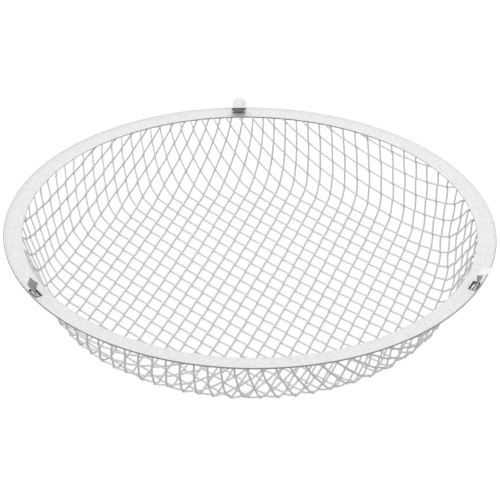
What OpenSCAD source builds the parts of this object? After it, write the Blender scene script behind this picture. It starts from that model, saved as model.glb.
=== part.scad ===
// Round wire mesh guard: a crimped woven dish clamped in a folded sheet rim ring with three swing clips.
// Millimetres. The ring's axis is Z, and z = 0 is the underside of the lowest wire.

/* [Rim ring] */
// Outside diameter of the rim ring
rim_d = 480; // [470:1:500]
// Width of the flat flange, from the rolled outer edge to the mesh
flange_w = 18.9; // [17:0.1:20]
// Height of the folded ring
rim_h = 3.6; // [3.5:0.1:4]
// Thickness of the ring's sheet
rim_sheet = 0.6; // [0.5:0.1:0.6]

/* [Mesh dish] */
// Depth of the dish, from the ring's top face to the wires at its middle
dish_depth = 76.5; // [70:0.5:84]
// How far the floor of the dish rises from its middle to its corner
floor_rise = 8.1; // [5:0.1:10]
// Radius at which the line of the floor meets the line of the wall
corner_r = 196; // [192:1:200]
// Length of floor, and of wall, taken up by the rounded corner
corner_len = 17; // [12:1:20]

/* [Woven wire] */
// Thickness of each wire
wire_d = 1.8; // [1.2:0.1:1.9]
// Spacing of the knots along a warp wire
warp_step = 16.82; // [16.4:0.02:18]
// Spacing of the knots along a weft wire
weft_step = 16.62; // [16.4:0.02:18]
// Direction of the middle warp wire, anticlockwise from +X
warp_angle = 72.35; // [70:0.1:75]
// Direction of the middle weft wire, anticlockwise from +X
weft_angle = -48.03; // [-50:0.1:-46]
// Turn of the middle warp wire at each knot on the wall, where the mesh shears into shape
warp_turn = 2.48; // [0:0.02:3]
// Turn of the middle weft wire at each knot on the wall
weft_turn = -2.65; // [-3:0.02:0]

/* [Clips] */
// Width of a clip's blade
clip_w = 14.4; // [13:0.1:16]
// Thickness of a clip's sheet
clip_t = 0.8; // [0.6:0.1:1]
// Lean of the rear clip from upright, outwards positive
rear_lean = -27; // [-44:1:44]
// Lean of the left clip from upright, outwards positive
left_lean = 26; // [-44:1:44]
// Lean of the right clip from upright, outwards positive
right_lean = 30; // [-44:1:44]

/* [Hidden] */
$fn = 96;

rim_r = rim_d / 2;
mouth_r = rim_r - flange_w;
crimp = wire_d / 2;
wire_low = 0.2 * wire_d;
wire_high = 0.43 * wire_d;
rim_top = dish_depth + crimp + wire_low;

// ---- Surface of the dish, with z measured down from the ring's top face ----
wall_top_r = mouth_r + 1.1;
corner_z = floor_rise - dish_depth;
floor_bow = floor_rise / (corner_r * corner_r);
floor_dir = unit([1, 2 * floor_bow * corner_r]);
wall_dir = unit([wall_top_r - corner_r, -corner_z]);
bend_a = [corner_r, corner_z] - corner_len * floor_dir;
bend_c = [corner_r, corner_z] + corner_len * wall_dir;
wall_slope = wall_dir[1] / wall_dir[0];

function unit(v) = v / norm(v);

// How far along the rounded corner, 0 to 1, the surface has the radius r
function bend_at(r) =
    let (
        a = bend_a[0] - 2 * corner_r + bend_c[0],
        b = 2 * (corner_r - bend_a[0]),
        c = bend_a[0] - r
    )
    -2 * c / (b + sqrt(b * b - 4 * a * c));

// Height of the dish surface at radius r
function dish_z(r) =
    r < bend_a[0] ? floor_bow * r * r - dish_depth :
    r > bend_c[0] ? bend_c[1] + (r - bend_c[0]) * wall_slope :
    let (t = bend_at(r), u = 1 - t)
    u * u * (floor_bow * bend_a[0] * bend_a[0] - dish_depth) + 2 * t * u * corner_z + t * t * bend_c[1];

// Slope of the dish surface at radius r
function dish_slope(r) =
    r < bend_a[0] ? 2 * floor_bow * r :
    r > bend_c[0] ? wall_slope :
    let (
        t = bend_at(r),
        u = 1 - t,
        a_z = floor_bow * bend_a[0] * bend_a[0] - dish_depth
    )
    (u * (corner_z - a_z) + t * (bend_c[1] - corner_z)) / (u * (corner_r - bend_a[0]) + t * (bend_c[0] - corner_r));

// Upward direction square to the dish surface at point p, not brought to unit length
function upward(p) =
    let (r = max(0.001, norm([p.x, p.y])), s = dish_slope(r))
    [-s * p.x / r, -s * p.y / r, 1];

function on_dish(x, y) = [x, y, dish_z(norm([x, y]))];

// ---- Knots of the weave: every wire keeps its length, so the square mesh shears as it takes the dish's shape ----
knots_out = 21;
first_knot = on_dish(2.31, 7.02);
knot_limit_r = rim_r + 10;

// Point at a distance step from p, along heading d, on the dish
function step_on_dish(p, d, n, step, a, b, tries = 6) =
    tries == 0 ? p + a * d + b * n :
    let (
        x = p + a * d + b * n,
        g = upward(x),
        off = x.z - dish_z(norm([x.x, x.y])),
        far = a * a + b * b - step * step,
        gd = g * d,
        gn = g * n,
        det = 2 * (gd * b - gn * a)
    )
    step_on_dish(p, d, n, step, a + (far * gn - 2 * off * b) / det, b + (2 * off * a - far * gd) / det, tries - 1);

// Heading d laid into the surface whose normal is n
function laid(d, n) = unit(d - n * (d * n));

// Knots of the middle wire of a family, outwards from the first knot
function middle_wire(d0, step, turn) = [
    for (
        k = 0, p = first_knot, d = laid(d0, unit(upward(first_knot)));
        k < knots_out;
        n = unit(upward(p)),
        h = norm([p.x, p.y]) > bend_a[0] ? d * cos(turn) + cross(n, d) * sin(turn) : d,
        q = norm([p.x, p.y]) > knot_limit_r ? p + step * h : step_on_dish(p, h, n, step, step, 0),
        d = laid(q - p, unit(upward(q))),
        p = q,
        k = k + 1
    ) p
];

// Point on the dish one warp step from p1 and one weft step from p2
function meet(p1, p2, x, tries = 8) =
    tries == 0 ? x :
    let (
        r1 = 2 * (x - p1),
        r2 = 2 * (x - p2),
        r3 = upward(x),
        f1 = (x - p1) * (x - p1) - warp_step * warp_step,
        f2 = (x - p2) * (x - p2) - weft_step * weft_step,
        f3 = x.z - dish_z(norm([x.x, x.y])),
        move = (f1 * cross(r2, r3) + f2 * cross(r3, r1) + f3 * cross(r1, r2)) / (r1 * cross(r2, r3))
    )
    meet(p1, p2, x - move * min(1, 12 / max(12, norm(move))), tries - 1);

// The knot that closes a mesh whose other three corners are known, if it lies within the rim
function knot(p1, p2, p0) =
    is_undef(p1) || is_undef(p2) || is_undef(p0) ? undef :
    let (x = meet(p1, p2, p1 + p2 - p0))
    norm([x.x, x.y]) < knot_limit_r && norm(x - p0) > 5 ? x : undef;

// One row of knots, worked outwards from its start using the row below it
function next_row(below, start) = [
    for (
        k = 0, p = start;
        k < knots_out;
        k = k + 1,
        p = k < knots_out ? knot(p, below[k], below[k - 1]) : undef
    ) p
];

function rows(first, starts) = [
    for (k = 0, row = first; k < knots_out; k = k + 1, row = k < knots_out ? next_row(row, starts[k]) : undef) row
];

function heading(angle) = [cos(angle), sin(angle), 0];

function kept(wire) = [for (p = wire) norm([p.x, p.y]) < knot_limit_r ? p : undef];

warp_out = kept(middle_wire(heading(warp_angle), warp_step, warp_turn));
warp_back = kept(middle_wire(-heading(warp_angle), warp_step, warp_turn));
weft_out = kept(middle_wire(heading(weft_angle), weft_step, weft_turn));
weft_back = kept(middle_wire(-heading(weft_angle), weft_step, weft_turn));

quarters = [
    rows(warp_back, weft_back),
    rows(warp_out, weft_back),
    rows(warp_back, weft_out),
    rows(warp_out, weft_out)
];

// Knot i steps along the warp and j steps along the weft
function knot_at(i, j) =
    abs(i) >= knots_out || abs(j) >= knots_out ? undef :
    quarters[(i >= 0 ? 1 : 0) + (j >= 0 ? 2 : 0)][abs(j)][abs(i)];

// ---- Wires ----
warp_side = 1;
weft_side = -1;
slip_z = -rim_h / 2;
slip_r = wall_top_r + slip_z / wall_slope;
slip_len = 6.5;
free_z = -14;
pinch = 0.65;
pinch_flat = 0.66;

// A three-sided wire: corners as [sideways, towards the inside of the dish], ridge inwards
wire_corners = [[-0.5 * wire_d, -wire_low], [0.5 * wire_d, -wire_low], [0, wire_high]];

function is_inside(p) = !is_undef(p) && p.z < slip_z;

// Side of the mesh, +1 inner or -1 outer, that a wire takes at knot p
function side(p, i, j, own) = p.z > free_z ? -own : own * ((i + j) % 2 == 0 ? 1 : -1);

function polar(r, a, z) = [r * cos(a), r * sin(a), z];

// A wire's place at knot p: its centre, its upward direction and how far its height is kept
function crossing(p, s) = let (n = unit(upward(p))) [p + s * crimp * n, n, 1];

// A wire's places in the ring, from where it leaves knot p towards knot q to its clamped end
function clamped(p, q, own) =
    let (
        m = p + (slip_z - p.z) / (q.z - p.z) * (q - p),
        a = atan2(m.y, m.x),
        sweep = (atan2(q.y, q.x) - a + 540) % 360 - 180,
        climb = (q.z - slip_z) * norm([1, wall_slope]) / wall_slope,
        turn = sweep / max(slip_len, climb),
        z = slip_z - 0.16 - own * pinch
    )
    [
        [polar(slip_r + 0.5 * own * pinch, a, z), unit([-cos(a), -sin(a), 1]), pinch_flat],
        [polar(slip_r + 0.4 * slip_len, a + 0.4 * slip_len * turn, z), [0, 0, 1], pinch_flat],
        [polar(slip_r + slip_len, a + slip_len * turn, z), [0, 0, 1], pinch_flat]
    ];

function reversed(v) = [for (k = [len(v) - 1 : -1 : 0]) v[k]];

// Places of a wire from one clamped end to the other, given its knots and the side it takes at each
function course(knots, sides, own) =
    let (
        inside = [for (k = [0 : len(knots) - 1]) if (is_inside(knots[k])) k],
        a = inside[0],
        b = inside[len(inside) - 1]
    )
    concat(
        reversed(clamped(knots[a], knots[a - 1], own)),
        [for (k = [a : b]) crossing(knots[k], sides[k])],
        clamped(knots[b], knots[b + 1], own)
    );

// A wire laid along its course, with one ring of corners at each place
module wire(places) {
    sides = len(wire_corners);
    last = len(places) - 1;
    points = [
        for (k = [0 : last])
            let (
                along = unit(places[min(k + 1, last)][0] - places[max(k - 1, 0)][0]),
                across = unit(cross(along, places[k][1])),
                up = cross(across, along)
            )
            for (c = wire_corners) places[k][0] + c[0] * across + places[k][2] * c[1] * up
    ];
    skin = [
        for (k = [0 : last - 1], c = [0 : sides - 1])
            let (here = sides * k + c, next = sides * k + (c + 1) % sides)
            for (f = [[here, next, here + sides], [here + sides, next, next + sides]]) f
    ];
    ends = [[for (c = [sides - 1 : -1 : 0]) c], [for (c = [0 : sides - 1]) sides * last + c]];
    translate([0, 0, rim_top]) polyhedron(points, concat(skin, ends));
}

steps = [-knots_out + 1 : knots_out - 1];

module warp_wire(j) {
    knots = [for (i = steps) knot_at(i, j)];
    sides = [for (i = steps) is_inside(knot_at(i, j)) ? side(knot_at(i, j), i, j, warp_side) : 0];
    wire(course(knots, sides, warp_side));
}

module weft_wire(i) {
    knots = [for (j = steps) knot_at(i, j)];
    sides = [for (j = steps) is_inside(knot_at(i, j)) ? side(knot_at(i, j), i, j, weft_side) : 0];
    wire(course(knots, sides, weft_side));
}

// The wires of a group, counted from the first wire that is long enough to be held at both ends
module warp_wires(group) {
    color("silver") for (j = [group * 3 - 20 : group * 3 - 18]) warp_wire(j);
}

module weft_wires(group) {
    color("silver") for (i = [group * 3 - 21 : group * 3 - 19]) weft_wire(i);
}

// ---- Rim ring ----
slot_r = rim_r - 7;
slot_depth = 5.6;
slot_len = clip_w - 1;
lower_mouth_r = mouth_r + 3.6;
fold_r = rim_h / 2;
rear_at = 93.5;
left_at = 212;
right_at = 334.6;

module ring_section() {
    difference() {
        union() {
            translate([mouth_r, -rim_h]) square([rim_r - fold_r - mouth_r, rim_h]);
            translate([rim_r - fold_r, -fold_r]) circle(fold_r);
        }
        translate([mouth_r - 1, rim_sheet - rim_h]) square([rim_r - fold_r - mouth_r + 1, rim_h - 2 * rim_sheet]);
        translate([rim_r - fold_r, -fold_r]) circle(fold_r - rim_sheet);
        translate([mouth_r - 1, -rim_h - 1]) square([lower_mouth_r - mouth_r + 1, fold_r + 1]);
    }
}

module rim_ring() {
    color("gainsboro") translate([0, 0, rim_top]) difference() {
        rotate_extrude() ring_section();
        for (at = [rear_at, left_at, right_at])
            rotate(at) translate([slot_r, 0, -fold_r]) cube([slot_depth, slot_len, 3 * rim_h], center = true);
    }
}

// ---- Swing clips ----
neck_w = slot_len - 1.6;
neck_up = 4.8;
neck_down = 3.6;
ear_len = 2.8;
shank_len = 9.4;
blade_len = 10.5;
blade_turn = -33;
tab_len = 10.8;
tab_turn = 82;
tab_round = 5.6;

// A flat length of clip sheet standing on the Y axis, with its far corners rounded by r
module leaf(w, len, r = 0) {
    rotate([90, 0, 90]) linear_extrude(clip_t, center = true) {
        translate([-w / 2, 0]) square([w, len - r]);
        if (r > 0) {
            translate([r - w / 2, 0]) square([w - 2 * r, len]);
            for (s = [-1, 1]) translate([s * (w / 2 - r), len - r]) circle(r);
        }
    }
}

module fold() {
    rotate([90, 0, 0]) cylinder(r = clip_t / 2, h = clip_w, center = true);
}

// A clip about its swing axis: ears below the ring, a neck through the slot, then shank, blade and finger tab
module clip() {
    translate([0, 0, -neck_down - ear_len]) leaf(clip_w, ear_len);
    translate([0, 0, -neck_down - 0.2]) leaf(neck_w, neck_down + neck_up + 0.4);
    translate([0, 0, neck_up]) leaf(clip_w, shank_len - neck_up);
    translate([0, 0, shank_len]) {
        fold();
        rotate([0, blade_turn, 0]) {
            leaf(clip_w, blade_len);
            translate([0, 0, blade_len]) {
                fold();
                rotate([0, tab_turn, 0]) leaf(clip_w, tab_len, tab_round);
            }
        }
    }
}

module hung_clip(at, lean) {
    color("lightgray") rotate(at) translate([slot_r, 0, rim_top - fold_r]) rotate([0, lean, 0]) clip();
}

module rear_clip() {
    hung_clip(rear_at, rear_lean);
}

module left_clip() {
    hung_clip(left_at, left_lean);
}

module right_clip() {
    hung_clip(right_at, right_lean);
}

// ---- Assembly ----
rim_ring();
warp_wires(1);  // warp_wires_01
warp_wires(2);  // warp_wires_02
warp_wires(3);  // warp_wires_03
warp_wires(4);  // warp_wires_04
warp_wires(5);  // warp_wires_05
warp_wires(6);  // warp_wires_06
warp_wires(7);  // warp_wires_07
warp_wires(8);  // warp_wires_08
warp_wires(9);  // warp_wires_09
warp_wires(10);  // warp_wires_10
warp_wires(11);  // warp_wires_11
warp_wires(12);  // warp_wires_12
weft_wires(1);  // weft_wires_01
weft_wires(2);  // weft_wires_02
weft_wires(3);  // weft_wires_03
weft_wires(4);  // weft_wires_04
weft_wires(5);  // weft_wires_05
weft_wires(6);  // weft_wires_06
weft_wires(7);  // weft_wires_07
weft_wires(8);  // weft_wires_08
weft_wires(9);  // weft_wires_09
weft_wires(10);  // weft_wires_10
weft_wires(11);  // weft_wires_11
weft_wires(12);  // weft_wires_12
rear_clip();
left_clip();
right_clip();
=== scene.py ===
# %% [markdown]
# # A woven wire guard
# A guard of this kind is a shallow basket of crimped galvanised wire, pressed into shape and clamped in a folded
# sheet ring. Three little clips hang in slots of the ring and hold the guard over the mouth of a lamp reflector.
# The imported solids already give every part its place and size. This lesson builds the looks on top of them: smooth
# round wires, zinc-coated surfaces and soft light. All lengths are in metres.

# %% Load the frame
import bpy
import bmesh
import math
from mathutils import Matrix, Vector


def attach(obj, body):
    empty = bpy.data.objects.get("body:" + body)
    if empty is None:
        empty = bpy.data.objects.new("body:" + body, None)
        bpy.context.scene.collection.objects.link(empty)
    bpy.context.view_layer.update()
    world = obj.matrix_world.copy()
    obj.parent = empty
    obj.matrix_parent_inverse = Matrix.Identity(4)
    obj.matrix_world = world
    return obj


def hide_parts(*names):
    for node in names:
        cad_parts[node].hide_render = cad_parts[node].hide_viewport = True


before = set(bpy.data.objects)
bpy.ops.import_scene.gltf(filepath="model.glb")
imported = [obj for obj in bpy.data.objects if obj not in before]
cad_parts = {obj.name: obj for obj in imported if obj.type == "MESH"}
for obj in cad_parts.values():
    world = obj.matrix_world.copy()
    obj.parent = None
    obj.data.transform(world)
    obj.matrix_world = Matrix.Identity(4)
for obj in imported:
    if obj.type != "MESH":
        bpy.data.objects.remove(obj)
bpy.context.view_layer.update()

# %% [markdown]
# ## The shape of the dish
# The pressed mesh is a surface of revolution: a floor that bows down a little, a rounded corner, and a straight
# wall that leans out to the ring. It could be spun as a mesh, but the wires only ask how high it is. So one
# function gives its height at any radius, counted from the ring's top face. The rounded corner is a parabola that
# touches both straight lines, which is how a draughtsman blends two tangents with one control point.

# %% Sizes of the dish
RIM_R = 0.240  # outside radius of the ring
RIM_H = 0.0036  # from its top face to the underside of its lower sheet
RIM_TOP = 0.07776  # height of its top face over the table
DEPTH = 0.0765  # depth of the dish's middle under that face
FLOOR_RISE = 0.0081  # how far the floor would rise on its way out to the corner
CORNER_R = 0.196  # radius where floor and wall would meet without the blend
CORNER_LEN = 0.017  # length of the blend on either side of that
WALL_TOP_R = 0.2222  # radius where the wall reaches the ring's top face


def unit2(x, y):
    size = math.hypot(x, y)
    return x / size, y / size


corner_z = FLOOR_RISE - DEPTH
bow = FLOOR_RISE / CORNER_R ** 2
floor_dir = unit2(1, 2 * bow * CORNER_R)
wall_dir = unit2(WALL_TOP_R - CORNER_R, -corner_z)
wall_slope = wall_dir[1] / wall_dir[0]
bend_in = (CORNER_R - CORNER_LEN * floor_dir[0], corner_z - CORNER_LEN * floor_dir[1])
bend_out = (CORNER_R + CORNER_LEN * wall_dir[0], corner_z + CORNER_LEN * wall_dir[1])
bend_in_z = bow * bend_in[0] ** 2 - DEPTH
print("the corner is rounded from radius", round(bend_in[0], 4), "to", round(bend_out[0], 4))


# %% Height and slope of the dish
def bend_share(r):
    """How far along the blend the radius r is, from 0 at the floor to 1 at the wall."""
    a = bend_in[0] - 2 * CORNER_R + bend_out[0]
    b = 2 * (CORNER_R - bend_in[0])
    c = bend_in[0] - r
    return -2 * c / (b + math.sqrt(b * b - 4 * a * c))


def dish_z(r):
    if r < bend_in[0]:
        return bow * r * r - DEPTH
    if r > bend_out[0]:
        return bend_out[1] + (r - bend_out[0]) * wall_slope
    t = bend_share(r)
    return (1 - t) ** 2 * bend_in_z + 2 * t * (1 - t) * corner_z + t * t * bend_out[1]


def dish_slope(r):
    if r < bend_in[0]:
        return 2 * bow * r
    if r > bend_out[0]:
        return wall_slope
    t = bend_share(r)
    rise = (1 - t) * (corner_z - bend_in_z) + t * (bend_out[1] - corner_z)
    run = (1 - t) * (CORNER_R - bend_in[0]) + t * (bend_out[0] - CORNER_R)
    return rise / run


def upward(p):
    """The direction square to the dish over or under p. Its height is 1, so its length isn't."""
    r = max(1e-6, math.hypot(p.x, p.y))
    s = dish_slope(r)
    return Vector((-s * p.x / r, -s * p.y / r, 1))


print("floor rises", round(bend_in_z + DEPTH, 4), "m before the corner; wall slope", round(wall_slope, 3))

# %% [markdown]
# ## Where the wires cross
# A flat woven cloth can't be wrapped over a dish without changing shape, but its wires don't stretch: each little
# square turns into a diamond instead. A flat pattern projected downwards would miss this. So the weave is laid as
# the real cloth lies, in steps of wire. Two middle wires come first. Each goes straight over the floor and drifts a
# little to one side past the corner. A step is found with a few rounds of Newton's method, which moves a first
# guess until it lies on the dish and at the right distance.

# %% One step of wire
WARP_STEP = 0.01682  # length of wire from knot to knot
WEFT_STEP = 0.01662
STEP_ROUNDS = 8


def one_step(p, d, n, step):
    """The point of the dish one step from p, found in the plane of the direction d and the normal n."""
    a, b = step, 0.0
    for _ in range(STEP_ROUNDS):
        x = p + a * d + b * n
        g = upward(x)
        off = x.z - dish_z(x.xy.length)
        far = a * a + b * b - step * step
        det = 2 * (g.dot(d) * b - g.dot(n) * a)
        a, b = a + (far * g.dot(n) - 2 * off * b) / det, b + (2 * off * a - far * g.dot(d)) / det
    return p + a * d + b * n


print("a warp step is", WARP_STEP, "m and a weft step", WEFT_STEP, "m")

# %% Middle wires
WARP_ANGLE = math.radians(72.35)  # direction on the floor
WEFT_ANGLE = math.radians(-48.03)
WARP_TURN = math.radians(2.48)  # drift at each knot past the floor
WEFT_TURN = math.radians(-2.65)
FIRST_KNOT = Vector((0.00231, 0.00702, 0))
LIMIT_R = 0.250  # no knot is wanted past this radius
KNOTS_OUT = 21  # more than fit between the middle and the ring


def middle_wire(angle, step, turn, way):
    """Knots of a middle wire from the first knot out to one side (way 1) or the other (way -1)."""
    p = FIRST_KNOT.copy()
    p.z = dish_z(p.xy.length)
    n = upward(p).normalized()
    d = Vector((math.cos(angle), math.sin(angle), 0)) * way
    d = (d - n * d.dot(n)).normalized()
    line = [p]
    while len(line) < KNOTS_OUT:
        n = upward(p).normalized()
        if p.xy.length > bend_in[0]:
            d = d * math.cos(turn) + n.cross(d) * math.sin(turn)
        q = one_step(p, d, n, step)
        if q.xy.length > LIMIT_R:
            break
        n = upward(q).normalized()
        d = ((q - p) - n * (q - p).dot(n)).normalized()
        line.append(q)
        p = q
    return line


knots = {}
for way in (1, -1):
    for k, p in enumerate(middle_wire(WARP_ANGLE, WARP_STEP, WARP_TURN, way)):
        knots[(way * k, 0)] = p
    for k, p in enumerate(middle_wire(WEFT_ANGLE, WEFT_STEP, WEFT_TURN, way)):
        knots[(0, way * k)] = p
print(len(knots), "knots on the two middle wires")

# %% [markdown]
# ## The rest of the weave
# Every other knot is the one point of the dish that lies one step from each of its two neighbours, on the far side
# from the knot behind them. The search works outwards from the middle wires, one quarter of the cloth at a time.
# This gives the curved, crowded wires on the wall for free.

# %% Every other knot
MEET_ROUNDS = 12
LONGEST_MOVE = 0.012  # in one round
MISS = 1e-14  # largest error of the squared distances, squared
TOO_CLOSE = 0.005  # a point this near the knot behind is the wrong one


def meet(p1, p2, p0):
    """The knot one warp step from p1 and one weft step from p2, across the mesh from p0."""
    x = p1 + p2 - p0
    for _ in range(MEET_ROUNDS):
        r1, r2, r3 = 2 * (x - p1), 2 * (x - p2), upward(x)
        f1 = (x - p1).length_squared - WARP_STEP ** 2
        f2 = (x - p2).length_squared - WEFT_STEP ** 2
        f3 = x.z - dish_z(x.xy.length)
        det = r1.dot(r2.cross(r3))
        if det == 0:
            return None
        move = (f1 * r2.cross(r3) + f2 * r3.cross(r1) + f3 * r1.cross(r2)) / det
        if move.length > LONGEST_MOVE:
            move *= LONGEST_MOVE / move.length
        x = x - move
    if f1 * f1 + f2 * f2 > MISS or x.xy.length > LIMIT_R or (x - p0).length < TOO_CLOSE:
        return None
    return x


for si, sj in ((1, 1), (1, -1), (-1, 1), (-1, -1)):
    for i in range(1, KNOTS_OUT):
        for j in range(1, KNOTS_OUT):
            near = [(si * (i - 1), sj * j), (si * i, sj * (j - 1)), (si * (i - 1), sj * (j - 1))]
            before = [knots.get(key) for key in near]
            if None not in before:
                p = meet(*before)
                if p is not None:
                    knots[(si * i, sj * j)] = p
print(len(knots), "knots,", sum(p.z < -RIM_H / 2 for p in knots.values()), "of them below the ring")

# %% [markdown]
# ## Crimped wires
# Each wire passes over one crossing wire and under the next. A sine wave along the wire would be the simplest way
# to show this, but the cloth is woven from wire that was crimped first, so its bends are short and sit at the
# crossings, and the runs between them are nearly straight. So the height of a wire over the middle of the cloth is
# a short bend, a straight run and a short bend again.

# %% Crimp
WIRE_R = 0.00088  # half the thickness of the wire, and its lift at a crossing
LEG = 0.13  # share of a step that one bend takes

# heights of the straight run after an even or odd knot, where it starts and where it ends
RUNS = {
    "warp": {0: (0.00025, 0.00068), 1: (-0.00027, -0.00067)},
    "weft": {0: (-0.0004, 0.0013), 1: (-0.0006, 0.0008)},
}


def ease(t):
    return 0.5 - 0.5 * math.cos(math.pi * min(1, max(0, t)))


def height(family, odd, t):
    """Height of a wire over the middle of the cloth, a share t of the way from a knot to the next."""
    own = 1 if family == "warp" else -1
    here = own * WIRE_R * (-1 if odd else 1)
    first, last = RUNS[family][odd]
    run = first + (last - first) * t
    if t < LEG:
        return here + (run - here) * ease(t / LEG)
    if t > 1 - LEG:
        return -here + (run + here) * ease((1 - t) / LEG)
    return run


print("heights of a warp wire after an even knot", [round(height("warp", 0, t), 5) for t in (0, 0.5, 1)])

# %% [markdown]
# ## Ends of the wires
# Each wire ends between the two sheets of the ring, which grip it. The real ends are cut anyhow and crushed. Here
# a wire leaves the wall at the height of the gap, turns flat and runs on the way it was going. The warp ends lie in
# a lower layer than the weft ends, so that no wire passes through another.

# %% Clamped ends
SLIP_Z = -RIM_H / 2  # height at which a wire slips in between the sheets
SLIP_R = WALL_TOP_R + SLIP_Z / wall_slope  # radius of the wall at that height
SLIP_BEND = 0.0018  # length of the turn into the gap
SLIP_LEN = 0.0065  # length of the clamped end
LAYER = 0.00045  # how far each layer lies from the middle of the gap
LAYER_SHIFT = 0.00035  # how much earlier or later a layer turns flat


def polar(r, a, z):
    return Vector((r * math.cos(a), r * math.sin(a), z))


def tucked(p, q, own):
    """Points of a wire from the dish's edge, between its knots p and q, to its clamped end."""
    m = p + (SLIP_Z - p.z) / (q.z - p.z) * (q - p)
    a = math.atan2(m.y, m.x)
    sweep = (math.atan2(q.y, q.x) - a + 3 * math.pi) % (2 * math.pi) - math.pi
    climb = (q.z - SLIP_Z) * math.hypot(1, wall_slope) / wall_slope
    turn = sweep / max(SLIP_LEN, climb)
    z = SLIP_Z - own * LAYER
    return [
        polar(SLIP_R + LAYER_SHIFT * own, a, z),
        polar(SLIP_R + SLIP_BEND, a + SLIP_BEND * turn, z),
        polar(SLIP_R + SLIP_LEN, a + SLIP_LEN * turn, z),
    ]


print("wires slip into the ring at radius", round(SLIP_R, 5))

# %% [markdown]
# ## Centre line of a wire
# A centre line needs more points than its knots, or the wire would be a chain of straight pieces. They are put on a
# smooth path over the dish, closer together in the bends than on the runs, and then lifted by the crimp. A
# Catmull-Rom line is used for the path because it runs through every knot. A B-spline with the knots as its control
# points would cut the corners.

# %% Centre line
LOWEST = 0.00053 - DEPTH  # the dish is cut off here, so that its lowest crossings rest on the table
PLACES = (0, 0.03, 0.06, 0.09, 0.12, 0.16, 0.33, 0.5, 0.67, 0.84, 0.88, 0.91, 0.94, 0.97)


def catmull(p0, p1, p2, p3, t):
    """A point a share t of the way from p1 to p2, on the smooth line through all four."""
    second = 2 * p0 - 5 * p1 + 4 * p2 - p3
    third = 3 * p1 - p0 - 3 * p2 + p3
    return 0.5 * (2 * p1 + (p2 - p0) * t + second * t * t + third * t ** 3)


def wire_path(keys, family):
    """Points of a wire's centre line, from its one clamped end to the other."""
    own = 1 if family == "warp" else -1
    inside = [k for k in keys if k in knots and knots[k].z < SLIP_Z]
    first, last = keys.index(inside[0]), keys.index(inside[-1])
    before, after = knots[keys[first - 1]], knots[keys[last + 1]]
    line = [knots[k] for k in inside]
    odd = [(k[0] + k[1]) % 2 for k in inside]
    path = list(reversed(tucked(line[0], before, own)))
    for k in range(len(line) - 1):
        p0 = line[k - 1] if k else before
        p3 = line[k + 2] if k + 2 < len(line) else after
        for t in PLACES:
            p = catmull(p0, line[k], line[k + 1], p3, t)
            p.z = max(p.z, LOWEST)
            path.append(p + upward(p).normalized() * height(family, odd[k], t))
    path.append(line[-1] + upward(line[-1]).normalized() * height(family, odd[-1], 0))
    return path + tucked(line[-1], after, own)


steps = range(-KNOTS_OUT + 1, KNOTS_OUT)
# the wires that reach the dish, by their number from the middle one
wire_keys = {
    "warp": [[(i, j) for i in steps] for j in range(-17, 19)],
    "weft": [[(i, j) for j in steps] for i in range(-18, 18)],
}
print(len(wire_keys["warp"]), "warp and", len(wire_keys["weft"]), "weft wires, in the order of the solids")

# %% [markdown]
# ## Rounding the wires
# A wire needs a round section along the whole path. A tube could be bridged from rings of vertices, but a curve
# with a bevel depth does it well: it keeps the section square to the path and doesn't twist. Each node of the
# solids holds three neighbouring wires, so one curve object with three lines stands for it, and rides on the same
# body.

# %% Wire curves
GROUPS = 12  # in each direction
IN_GROUP = 3
ROUNDNESS = 2  # gives the section eight sides


def wire_object(name, paths):
    curve = bpy.data.curves.new(name, "CURVE")
    curve.dimensions = "3D"
    curve.bevel_depth = 1
    curve.bevel_resolution = ROUNDNESS
    curve.use_fill_caps = True
    for path in paths:
        spline = curve.splines.new("POLY")
        spline.points.add(len(path) - 1)
        for point, p in zip(spline.points, path):
            point.co = (p.x, p.y, p.z + RIM_TOP, 1)
            point.radius = WIRE_R
        spline.use_smooth = True
    wire = bpy.data.objects.new(name, curve)
    bpy.context.scene.collection.objects.link(wire)
    return wire


wires = {"warp": [], "weft": []}
for family, all_keys in wire_keys.items():
    for group in range(GROUPS):
        members = all_keys[group * IN_GROUP:(group + 1) * IN_GROUP]
        node = f"{family}_wires_{group + 1:02d}"
        wire = wire_object(f"round_{node}", [wire_path(keys, family) for keys in members])
        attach(wire, "guard")
        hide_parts(node)
        wires[family].append(wire)
print(sum(len(v) for v in wires.values()), "groups of wires")

# %% [markdown]
# ## The rim ring
# The ring is one strip of thin sheet, folded over the ends of the wires and closed by a narrow rolled bead at its
# outer edge. The bead stiffens it and shows as a fine line. Its section is drawn once, as a closed line of points,
# and spun round the axis. A sweep along a curve would need its seam hidden, a full spin has none.

# %% Section of the ring
SHEET = 0.0006  # thickness of the strip
MOUTH_R = 0.2211  # inner edge of the top sheet
LIP_R = 0.2247  # inner edge of the lower sheet
FLAT_R = 0.2298  # the lower sheet is flat out to here, then slopes up
CREASE_R = 0.2360  # the top sheet is flat out to here, then curls up
BEAD_R = 0.00085
BEAD_BACK = 0.0004  # how far it stays inside the solid's outer edge
BEAD_AT = (RIM_R - BEAD_BACK - BEAD_R, 0.0011)  # radius and height of its middle
BEAD_TURN = range(195, -106, -25)  # degrees round that middle, from the crease over the top to the underside


def bead_point(degrees):
    around = math.radians(degrees)
    return BEAD_AT[0] + BEAD_R * math.cos(around), BEAD_AT[1] + BEAD_R * math.sin(around)


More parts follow.
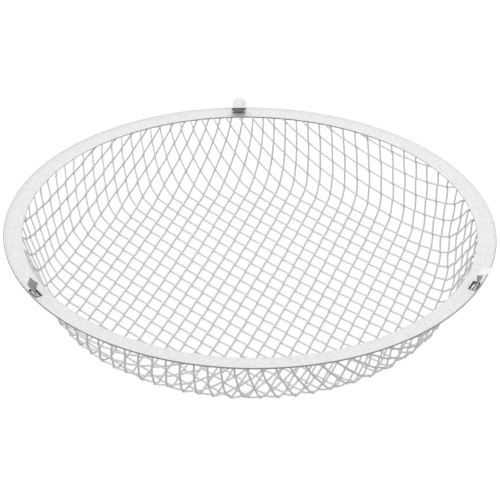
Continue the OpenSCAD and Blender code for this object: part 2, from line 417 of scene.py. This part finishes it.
# radius and height of each point, once round the section
mouth_edge = [(MOUTH_R, -SHEET), (MOUTH_R, -0.00025), (MOUTH_R + 0.0001, -0.00007), (MOUTH_R + 0.0003, 0)]
curl = [(CREASE_R, 0), (0.2366, 0.0001), (0.2373, 0.0004)]
bead = [bead_point(degrees) for degrees in BEAD_TURN]
underside = [(0.2379, 0.0001), (FLAT_R + 0.0006, -RIM_H + 0.0001), (FLAT_R, -RIM_H)]
lip = [(LIP_R, -RIM_H), (LIP_R, -RIM_H + SHEET), (FLAT_R, -RIM_H + SHEET)]
hollow = [(0.2302, -0.00293), (0.2351, -0.00068), (0.2350, -SHEET)]
section = mouth_edge + curl + bead + underside + lip + hollow
print(len(section), "points in the ring's section")


# %% Spin the ring
RING_STEPS = 288


def from_bmesh(name, bm):
    """An object of the scene made from a bmesh, which is freed."""
    mesh = bpy.data.meshes.new(name)
    bm.to_mesh(mesh)
    bm.free()
    obj = bpy.data.objects.new(name, mesh)
    bpy.context.scene.collection.objects.link(obj)
    return obj


ring_bm = bmesh.new()
corners = [ring_bm.verts.new((r, 0, z + RIM_TOP)) for r, z in section]
edges = [ring_bm.edges.new(pair) for pair in zip(corners, corners[1:] + corners[:1])]
bmesh.ops.spin(
    ring_bm, geom=corners + edges, cent=(0, 0, 0), axis=(0, 0, 1), angle=2 * math.pi, steps=RING_STEPS, use_merge=True
)
bmesh.ops.recalc_face_normals(ring_bm, faces=ring_bm.faces)
print("the spun ring has", len(ring_bm.faces), "faces")

# %% [markdown]
# ## Finishes round the section
# The flat of the ring is bright zinc, but its edges are not. The bead's outer side is painted dark, as painted shade
# and a painted reflection of the dark surroundings it turns to, and shows as a fine dark line. The cut edge of the
# mouth is a middle grey, partly the darker steel of the cut and partly painted shade where the sheet's edge meets the
# wires. The crease inside the bead is painted a touch darker than the flat, as painted shade in the crease. A mask in
# one material could paint this, but each zone is a whole band of faces, so every face simply gets a finish by where
# its middle lies.

# %% Finish of each face
# the bead's finish is painted shade, the crease's a little painted shade, the mouth's partly painted shade
FLAT_FACE, BEAD_SHADE_FACE, CREASE_FACE, MOUTH_FACE = range(4)
MOUTH_WIDE = 0.0002  # width of the cut edge
ON_BEAD = 1.05  # faces up to this many radii from the bead's middle belong to it
# the bead's faces between these angles are painted dark as shade; the others keep the flat's zinc
DARK_FROM, DARK_TO = -115, 80  # degrees round the bead that are its outer side
CREASE_FROM, CREASE_TO = 130, -150  # degrees round the bead that face the crease


def ring_finish(middle):
    r = middle.xy.length
    out, up = r - BEAD_AT[0], middle.z - RIM_TOP - BEAD_AT[1]
    around = math.degrees(math.atan2(up, out))
    if r < MOUTH_R + MOUTH_WIDE:
        return MOUTH_FACE
    if math.hypot(out, up) >= BEAD_R * ON_BEAD:
        return CREASE_FACE if r > CREASE_R and middle.z > RIM_TOP else FLAT_FACE
    if around > CREASE_FROM or around < CREASE_TO:
        return CREASE_FACE
    return BEAD_SHADE_FACE if DARK_FROM < around < DARK_TO else FLAT_FACE


for face in ring_bm.faces:
    face.material_index = ring_finish(face.calc_center_median())
ring = from_bmesh("rolled_rim_ring", ring_bm)
finishes = [polygon.material_index for polygon in ring.data.polygons]
print("faces of each finish", [finishes.count(kind) // RING_STEPS for kind in range(4)], "in the section")

# %% [markdown]
# ## Blocks for the slots
# Three slots let the clips hang through the ring. They are punched after the strip is folded, so each goes through
# both sheets, and the punch leaves a sharp burr standing round the hole. Building the holes into the spun mesh would
# mean fitting them between its faces. Instead three blocks are made here, in the shape of the punch, and are taken
# away from the ring later. Three larger flat plates become the burrs. They and the cut walls of the holes are painted
# nearly black, as painted shade for the shadow in the gap round each clip.

# %% Punch and burrs
PLACE = {"rear_clip": 93.5, "left_clip": 212, "right_clip": 334.6}  # degrees round the ring
SLOT_R = 0.233  # radius of the slots' middles
SLOT = (0.0056, 0.0134, 0.012)  # along the radius, across it, and the height of the punch
BURR = 0.0013  # how much wider than the slot a burr is
BURR_H = 0.0003  # how far it stands up


def three_blocks(name, size, z):
    bm = bmesh.new()
    for at in PLACE.values():
        block = bmesh.ops.create_cube(bm, size=1)["verts"]
        bmesh.ops.scale(bm, verts=block, vec=size)
        bmesh.ops.translate(bm, verts=block, vec=(SLOT_R, 0, z))
        bmesh.ops.rotate(bm, verts=block, cent=(0, 0, 0), matrix=Matrix.Rotation(math.radians(at), 3, "Z"))
    return from_bmesh(name, bm)


blocks = three_blocks("slot_blocks", SLOT, RIM_TOP - RIM_H / 2)
# the burrs carry the near-black painted shade round each slot
burrs = three_blocks("slot_burrs", (SLOT[0] + BURR, SLOT[1] + BURR, 2 * BURR_H), RIM_TOP)
print("slots are", SLOT[1], "by", SLOT[0], "m")

# %% [markdown]
# ## Clips
# Each clip is a strip of thicker sheet: two ears below the ring keep it in its slot, a neck passes through, and
# above it the strip is folded twice, into a blade that leans one way and a tab that leans back, to be pushed by a
# finger. The clips were bent by hand over the years, so each has its own angles. A bend modifier on a flat plate
# would give round, soft folds. Here the strip is described by stations along its folded path, each with its width.

# %% Sizes of the clips
WIDE = 0.0144
NECK = 0.0118
# finishes: the blade is painted shade, the tab painted light, and the fold painted shade under the upper fold
BLADE, TAB, FOLD = range(3)  # finishes

# height and width from the ears through the neck up to the first fold
STRAIGHT = ((-0.0064, WIDE), (-0.0036, WIDE), (-0.0035, NECK), (0.0047, NECK), (0.0048, WIDE), (0.0088, WIDE))

# lean in the slot, length and angle of the blade, length and angle of the tab, finish of the upper fold
BENDS = {
    "rear_clip": (-27, (0.0105, -39), (0.0112, 49), FOLD),
    "left_clip": (26, (0.0094, -48), (0.0080, 14), FOLD),
    "right_clip": (30, (0.0113, -30), (0.0104, 44), TAB),
}
print("blades lean", {node: bend[1][1] for node, bend in BENDS.items()}, "degrees from the neck")

# %% Path of a clip
FOLD_STEPS = 4  # stations in a fold
FOLD_STEP = 0.0003  # from one of them to the next
TAB_ROUND = 0.0056  # radius of the tab's corners
TAB_STEPS = 9  # stations round them
TAB_TURN = 11  # degrees from one of those to the next


def heading(degrees):
    """How far one metre along the strip goes sideways and up."""
    return math.sin(math.radians(degrees)), math.cos(math.radians(degrees))


def fold(line, start, angle, finish):
    """Adds a fold from one angle to another at the end of the line, and returns where it ends."""
    x, z = line[-1][:2]
    for k in range(1, FOLD_STEPS + 1):
        side, up = heading(start + (angle - start) * k / FOLD_STEPS)
        x += FOLD_STEP * side
        z += FOLD_STEP * up
        line.append((x, z, WIDE, finish))
    return x, z


def clip_path(blade, tab, upper_fold):
    """Stations of the upright strip: place along the ring's radius, height, width and finish."""
    line = [(0.0, z, width, BLADE) for z, width in STRAIGHT]
    length, angle = blade
    x, z = fold(line, 0.0, angle, BLADE)
    side, up = heading(angle)
    rest = length - FOLD_STEPS * FOLD_STEP
    line.append((x + rest * side, z + rest * up, WIDE, BLADE))
    length, tab_angle = tab
    x, z = fold(line, angle, tab_angle, upper_fold)
    side, up = heading(tab_angle)
    for k in range(TAB_STEPS):
        d = TAB_ROUND * (1 - math.sin(math.radians(k * TAB_TURN)))
        half = WIDE / 2 - TAB_ROUND + math.sqrt(max(0, TAB_ROUND ** 2 - (TAB_ROUND - d) ** 2))
        along = length - FOLD_STEPS * FOLD_STEP / 2 - d
        line.append((x + along * side, z + along * up, 2 * half, TAB))
    return line


print("a clip's strip has", len(clip_path(*BENDS["rear_clip"][1:])), "stations")

# %% [markdown]
# ## From a path to a clip
# The strip starts as one edge, as wide as its first station. It is extruded from station to station, and each new
# edge is moved into place and given its own width. The distance travelled is written into a UV map, so that a
# pattern can follow the folds later. Solidify then gives the strip the thickness of the sheet, and a small bevel
# takes the hardness off its edges. Modelling the thickness by hand would double the work for the same result.

# %% Extrude the strip
def strip(stations):
    bm = bmesh.new()
    x, z, width, _ = stations[0]
    pair = [bm.verts.new((x, -width / 2, z)), bm.verts.new((x, width / 2, z))]
    edge = bm.edges.new(pair)
    travel = {pair[0]: 0.0, pair[1]: 0.0}
    run = 0.0
    for station in stations[1:]:
        run += math.hypot(station[0] - x, station[1] - z)
        x, z, width, finish = station
        new = bmesh.ops.extrude_edge_only(bm, edges=[edge])["geom"]
        edge = next(g for g in new if isinstance(g, bmesh.types.BMEdge))
        ends = sorted((g for g in new if isinstance(g, bmesh.types.BMVert)), key=lambda v: v.co.y)
        for vert, side in zip(ends, (-0.5, 0.5)):
            vert.co = (x, side * width, z)
            travel[vert] = run
        for face in (g for g in new if isinstance(g, bmesh.types.BMFace)):
            face.material_index = finish
            face.smooth = True
    lay = bm.loops.layers.uv.new("lay")
    for face in bm.faces:
        for loop in face.loops:
            loop[lay].uv = (loop.vert.co.y, travel[loop.vert])
    bmesh.ops.recalc_face_normals(bm, faces=bm.faces)
    return bm


strips = {node: strip(clip_path(*bend[1:])) for node, bend in BENDS.items()}
print("faces along each strip", {node: len(bm.faces) for node, bm in strips.items()})

# %% Set the clips in their slots
CLIP_T = 0.0008  # thickness of the sheet
SOFT_EDGE = 0.00012
SOFT_STEPS = 2
SHARP_FOLD = math.radians(50)  # only edges sharper than this are softened


def clip_object(name, bm, at, lean):
    bmesh.ops.rotate(bm, verts=bm.verts, cent=(0, 0, 0), matrix=Matrix.Rotation(math.radians(lean), 3, "Y"))
    bmesh.ops.translate(bm, verts=bm.verts, vec=(SLOT_R, 0, RIM_TOP - RIM_H / 2))
    bmesh.ops.rotate(bm, verts=bm.verts, cent=(0, 0, 0), matrix=Matrix.Rotation(math.radians(at), 3, "Z"))
    clip = from_bmesh(name, bm)
    sheet = clip.modifiers.new("sheet", "SOLIDIFY")
    sheet.thickness = CLIP_T
    sheet.offset = 0
    sheet.material_offset_rim = 0
    soft = clip.modifiers.new("edges", "BEVEL")
    soft.width = SOFT_EDGE
    soft.segments = SOFT_STEPS
    soft.limit_method = "ANGLE"
    soft.angle_limit = SHARP_FOLD
    return clip


clips = {node: clip_object("folded_" + node, strips[node], PLACE[node], BENDS[node][0]) for node in PLACE}
print("clips:", [clip.name for clip in clips.values()])

# %% [markdown]
# ## Tools for finishes
# A finish that is the same all over looks like plastic. The real ones vary in colour, in roughness and a little in
# height, and the same few nodes do this each time: noise, a change of range, a mix of two tones and a bump. Copying
# them by hand into each material is easy to get wrong, so each gets a small helper, which returns its output.

# %% A new finish
def new_finish(name, metal):
    material = bpy.data.materials.new(name)
    material.use_nodes = True
    shader = material.node_tree.nodes["Principled BSDF"]
    shader.inputs["Metallic"].default_value = metal
    return material, material.node_tree, shader


def dress(obj, *materials):
    for material in materials:
        obj.data.materials.append(material)


print(len(bpy.data.materials), "materials came with the solids")

# %% Node helpers
def noise(tree, place, scale, detail):
    node = tree.nodes.new("ShaderNodeTexNoise")
    node.inputs["Scale"].default_value = scale
    node.inputs["Detail"].default_value = detail
    tree.links.new(place, node.inputs["Vector"])
    return node.outputs["Fac"]


def spread_out(tree, value, low, high, to_low=0, to_high=1):
    node = tree.nodes.new("ShaderNodeMapRange")
    for socket, number in (("From Min", low), ("From Max", high), ("To Min", to_low), ("To Max", to_high)):
        node.inputs[socket].default_value = number
    tree.links.new(value, node.inputs["Value"])
    return node.outputs["Result"]


def two_tones(tree, share, dark, light):
    node = tree.nodes.new("ShaderNodeMix")
    node.data_type = "RGBA"
    node.inputs["A"].default_value = (dark, dark, dark, 1)
    node.inputs["B"].default_value = (light, light, light, 1)
    tree.links.new(share, node.inputs["Factor"])
    return node.outputs["Result"]


def dented(tree, height_map, strength, distance):
    node = tree.nodes.new("ShaderNodeBump")
    node.inputs["Strength"].default_value = strength
    node.inputs["Distance"].default_value = distance
    tree.links.new(height_map, node.inputs["Height"])
    return node.outputs["Normal"]


print("helpers:", [helper.__name__ for helper in (noise, spread_out, two_tones, dented)])

# %% [markdown]
# ## Zinc-coated surfaces
# Hot-dip zinc is a bright, soft metal skin. On sheet it shows a fine mottle, a little rougher in some grains than
# in others; on drawn wire it is duller, with a finer mottle. The warp wires are painted a little darker than the
# weft wires, as painted shade and painted light for the way the light falls along each direction of one wire. An
# image of real zinc would have seams and only one scale. Noise in the object's own space has neither, so all the
# zinc here is one recipe with different numbers: a partly metallic base whose tone and roughness drift with noise,
# and a very small bump.

# %% Zinc finishes
FINE_DETAIL = 5
BROAD_DETAIL = 3
BROADER = 3  # the broad mottle is this much larger than the fine one
MOTTLE = (0.7, 1.3)  # the part of the added noise that the tones are spread over
GRAINS = (0.3, 0.7)  # the part of the fine noise that the roughness is spread over
DULLER = 0.08  # how far the roughness drifts either way
ZINC_DENTS = 0.0002

# tone, its spread, share of metal, roughness, grains in a metre, strength of the bump
ZINC = {
    "sheet_zinc": (0.82, 0.13, 0.4, 0.5, 1300, 0.25),
    # one wire zinc: the warp's darker tone is painted shade and the weft's lighter tone painted light
    "warp_zinc": (0.62, 0.10, 0.2, 0.5, 1500, 0.2),
    "weft_zinc": (0.76, 0.10, 0.2, 0.5, 1500, 0.2),
    # painted light: the tab is the lit part of the same strip as the blade, a brighter zinc than the ring
    "tab_zinc_painted_light": (0.90, 0.06, 0.4, 0.35, 700, 0.15),
    # painted shade: the bead's dark outer side, for the shade and dark reflection on its curve
    "bead_painted_shade": (0.26, 0.2, 0.3, 0.5, 900, 0.2),
    # partly the cut edge's darker steel and partly painted shade where the sheet's edge meets the wires
    "mouth_zinc": (0.40, 0.2, 0.3, 0.5, 1300, 0.2),
    # a touch darker than the flat sheet, as painted shade in the crease
    "crease_zinc": (0.81, 0.13, 0.4, 0.5, 1300, 0.2),
    # painted shade: near-black for the shadow in and round the slots, on the burrs and the cut walls
    "slot_painted_shade": (0.04, 0.3, 0.3, 0.6, 900, 0.2),
}


def zinc(name, tone, spread, metal, rough, grain, bump):
    material, tree, shader = new_finish(name, metal)
    place = tree.nodes.new("ShaderNodeTexCoord").outputs["Object"]
    fine = noise(tree, place, grain, FINE_DETAIL)
    broad = noise(tree, place, grain / BROADER, BROAD_DETAIL)
    both = tree.nodes.new("ShaderNodeMath")
    both.operation = "ADD"
    tree.links.new(fine, both.inputs[0])
    tree.links.new(broad, both.inputs[1])
    mottle = spread_out(tree, both.outputs[0], *MOTTLE)
    colour = two_tones(tree, mottle, tone * (1 - spread), min(1, tone * (1 + spread)))
    dullness = spread_out(tree, fine, *GRAINS, rough - DULLER, rough + DULLER)
    tree.links.new(colour, shader.inputs["Base Color"])
    tree.links.new(dullness, shader.inputs["Roughness"])
    tree.links.new(dented(tree, both.outputs[0], bump, ZINC_DENTS), shader.inputs["Normal"])
    return material


coat = {name: zinc(name, *numbers) for name, numbers in ZINC.items()}
for family in wires:
    for wire in wires[family]:
        dress(wire, coat[family + "_zinc"])
print("zinc finishes:", sorted(coat))

# %% [markdown]
# ## Punching the slots
# The ring and the burrs are cut by the blocks with a Boolean modifier, as the punch cut the real ring. The faces
# that it cuts take the blocks' own finish, a near-black that is painted shade inside the slots. The cut is applied at
# once, not left live, because the edges of the finished mesh are then marked sharp or smooth by their angle: the
# bead shades as a round roll and the flat of the ring stays flat.

# %% Cut and dress the ring
SHARP_EDGE = math.radians(35)


def punch(obj):
    cut = obj.modifiers.new("punch", "BOOLEAN")
    cut.operation = "DIFFERENCE"
    cut.solver = "EXACT"
    cut.material_mode = "TRANSFER"
    cut.object = blocks
    mesh = bpy.data.meshes.new_from_object(obj.evaluated_get(bpy.context.evaluated_depsgraph_get()))
    obj.modifiers.clear()
    obj.data = mesh
    bm = bmesh.new()
    bm.from_mesh(mesh)
    for face in bm.faces:
        face.smooth = True
    for edge in bm.edges:
        edge.smooth = len(edge.link_faces) == 2 and edge.calc_face_angle(0) < SHARP_EDGE
    bm.to_mesh(mesh)
    bm.free()


# in the order of the flat, the bead's painted shade, the crease and the mouth
dress(ring, coat["sheet_zinc"], coat["bead_painted_shade"], coat["crease_zinc"], coat["mouth_zinc"])
dress(burrs, coat["slot_painted_shade"])
dress(blocks, coat["slot_painted_shade"])
for piece in (ring, burrs):
    punch(piece)
    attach(piece, "guard")
    print(piece.name, "has", len(piece.data.polygons), "faces and", len(piece.data.materials), "materials")
bpy.data.objects.remove(blocks)
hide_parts("rim_ring")

# %% [markdown]
# ## Clip steel with painted shade
# The blades are cut from a rolled strip, with fine lines that run across the strip, side by side. The blades are
# painted dark and the upper fold of two clips nearly black, as painted shade, while the tabs stay light: one strip
# of sheet painted as a shaded blade and a lit tab. The lines come from a noise texture read through the strip's own
# UV map and stretched across it: a pattern on the map follows every fold, which a texture in space would not do.

# %% Brushed finish
BRUSHED_METAL = 0.4
LINES = (45, 600, 1)  # lines in a metre across the strip and along it
LINE_DETAIL = 4
LINE_TONES = (0.35, 0.65)  # the part of the noise that the tones are spread over
LINE_ROUGH = (0.3, 0.5)  # roughness in the lines and between them
LINE_BUMP = 0.3
LINE_DENTS = 0.0001


def brushed(name, dark, light):
    material, tree, shader = new_finish(name, BRUSHED_METAL)
    place = tree.nodes.new("ShaderNodeUVMap")
    place.uv_map = "lay"
    stretch = tree.nodes.new("ShaderNodeMapping")
    stretch.inputs["Scale"].default_value = LINES
    tree.links.new(place.outputs["UV"], stretch.inputs["Vector"])
    lines = noise(tree, stretch.outputs["Vector"], 1, LINE_DETAIL)
    colour = two_tones(tree, spread_out(tree, lines, *LINE_TONES), dark, light)
    tree.links.new(colour, shader.inputs["Base Color"])
    tree.links.new(spread_out(tree, lines, 0, 1, *LINE_ROUGH), shader.inputs["Roughness"])
    tree.links.new(dented(tree, lines, LINE_BUMP, LINE_DENTS), shader.inputs["Normal"])
    return material


# painted shade: the blades are dark and the upper folds nearly black, for shade that the light doesn't give
blade_painted_shade = brushed("blade_painted_shade", dark=0.13, light=0.40)
fold_painted_shade = brushed("fold_painted_shade", dark=0.03, light=0.14)
for node, clip in clips.items():
    dress(clip, blade_painted_shade, coat["tab_zinc_painted_light"], fold_painted_shade)  # in the order of BLADE, TAB and FOLD
    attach(clip, node)
    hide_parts(node)
    print(clip.name, "has", len(clip.data.polygons), "faces before its thickness")

# %% [markdown]
# ## Floor
# The guard stands on a white table. A floor that is white by its own colour would throw so much light up that the
# wires lose their shaded sides. So it is a matte grey that catches the shadow, plus a little glow that only the
# camera and reflections see, which brings it up to white without more light on the guard. Light Path tells the two
# kinds of rays apart.

# %% Rays that see a surface
def seen_directly(tree):
    """1 for a ray of the camera, of a reflection or through glass, and 0 for a ray that lights a surface."""
    path = tree.nodes.new("ShaderNodeLightPath")
    seen = path.outputs["Is Camera Ray"]
    for kind in ("Is Glossy Ray", "Is Transmission Ray"):
        either = tree.nodes.new("ShaderNodeMath")
        either.operation = "MAXIMUM"
        tree.links.new(seen, either.inputs[0])
        tree.links.new(path.outputs[kind], either.inputs[1])
        seen = either.outputs[0]
    return seen


print("the floor and the world look white to the camera, to reflections and through glass")

# %% White floor
FLOOR_TONE = 0.35
FLOOR_GLOW = 0.72
FLOOR_SIZE = 6  # from the middle to each side
FLOOR_Z = -0.0005  # just under the lowest wires


def floor_material():
    material = bpy.data.materials.new("white_floor")
    material.use_nodes = True
    tree = material.node_tree
    tree.nodes.clear()
    out = tree.nodes.new("ShaderNodeOutputMaterial")
    matte = tree.nodes.new("ShaderNodeBsdfDiffuse")
    matte.inputs["Color"].default_value = (FLOOR_TONE, FLOOR_TONE, FLOOR_TONE, 1)
    glow = tree.nodes.new("ShaderNodeEmission")
    glow.inputs["Strength"].default_value = FLOOR_GLOW
    white = tree.nodes.new("ShaderNodeAddShader")
    tree.links.new(matte.outputs[0], white.inputs[0])
    tree.links.new(glow.outputs[0], white.inputs[1])
    pick = tree.nodes.new("ShaderNodeMixShader")
    tree.links.new(seen_directly(tree), pick.inputs[0])
    tree.links.new(matte.outputs[0], pick.inputs[1])
    tree.links.new(white.outputs[0], pick.inputs[2])
    tree.links.new(pick.outputs[0], out.inputs["Surface"])
    return material


ground = bmesh.new()
bmesh.ops.create_grid(ground, x_segments=1, y_segments=1, size=FLOOR_SIZE)
bmesh.ops.translate(ground, verts=ground.verts, vec=(0, 0, FLOOR_Z))
floor = from_bmesh("floor", ground)
dress(floor, floor_material())
print("floor is", [round(v, 2) for v in floor.dimensions], "m")

# %% [markdown]
# ## Light
# Bright metal shows what surrounds it, so the surroundings are most of its look. There is no lamp in this soft
# studio: a lamp's edges would show as streaks on every wire. The world itself is the light, bright overhead and a
# little to the left and front, and falling smoothly to a third of that low down on the other side. So the wires get
# a lit and a shaded side without any hard highlight. The camera and reflections see the world plain white, so that
# nothing grey stands over the floor's far edge in a low view.

# %% Soft light
LIGHT_FROM = Vector((-0.35, -0.3, 0.9))
DIM, BRIGHT = 0.35, 1.1
FADE = 0.5  # cosine of the angle from the light at which fading starts; it ends at minus this

world = bpy.data.worlds.new("soft_studio")
bpy.context.scene.world = world
world.use_nodes = True
sky = world.node_tree
background = sky.nodes["Background"]
background.inputs["Color"].default_value = (1, 1, 1, 1)
way = sky.nodes.new("ShaderNodeTexCoord")
towards = sky.nodes.new("ShaderNodeVectorMath")
towards.operation = "DOT_PRODUCT"
towards.inputs[1].default_value = LIGHT_FROM.normalized()
sky.links.new(way.outputs["Generated"], towards.inputs[0])
level = spread_out(sky, towards.outputs["Value"], -FADE, FADE, DIM, BRIGHT)
level.node.interpolation_type = "SMOOTHSTEP"
strength = sky.nodes.new("ShaderNodeMix")
strength.inputs["B"].default_value = 1
sky.links.new(seen_directly(sky), strength.inputs["Factor"])
sky.links.new(level, strength.inputs["A"])
sky.links.new(strength.outputs["Result"], background.inputs["Strength"])
print("light from", DIM, "to", BRIGHT)

# %% [markdown]
# ## Camera
# The view is from the front and about a third of the way up, with a long lens, so that the ring is a flat oval
# and its far side is hardly smaller than its near side. A camera could be aimed with a constraint, but here its
# exact place and roll are known, so its matrix is written directly. It is worked out in a frame with x to the right,
# y down and z ahead. A camera here looks along its own -z with y up, so two axes are turned round at the end.

# %% Camera
FOCAL_PX = 2038.2
IMAGE_PX = 500
SENSOR = 36  # width in millimetres, as the lens is
ELEVATION = math.radians(32.525)
ROLL = math.radians(0.8934)
RING_SEEN = Vector((1.291e-4, -0.098048, 8.29268)) * RIM_R  # the ring's middle, right, down and ahead

cr, sr = math.cos(ROLL), math.sin(ROLL)
roll = Matrix(((cr, -sr, 0), (sr, cr, 0), (0, 0, 1)))
x_seen = roll @ Vector((1, 0, 0))
y_seen = roll @ Vector((0, -math.sin(ELEVATION), math.cos(ELEVATION)))
z_seen = roll @ Vector((0, -math.cos(ELEVATION), -math.sin(ELEVATION)))
to_camera = Matrix((x_seen, y_seen, z_seen)).transposed()
eye = -(to_camera.transposed() @ RING_SEEN) + Vector((0, 0, RIM_TOP))
flip = Matrix(((1, 0, 0), (0, -1, 0), (0, 0, -1)))
turn = (flip @ to_camera).transposed()

camera_data = bpy.data.cameras.new("camera")
camera_data.sensor_fit = "HORIZONTAL"
camera_data.sensor_width = SENSOR
camera_data.lens = SENSOR * FOCAL_PX / IMAGE_PX
camera = bpy.data.objects.new("camera", camera_data)
camera.matrix_world = Matrix.Translation(eye) @ turn.to_4x4()
bpy.context.scene.collection.objects.link(camera)
bpy.context.scene.camera = camera
bpy.context.scene.view_settings.view_transform = "Standard"
print("camera at", [round(v, 3) for v in eye])
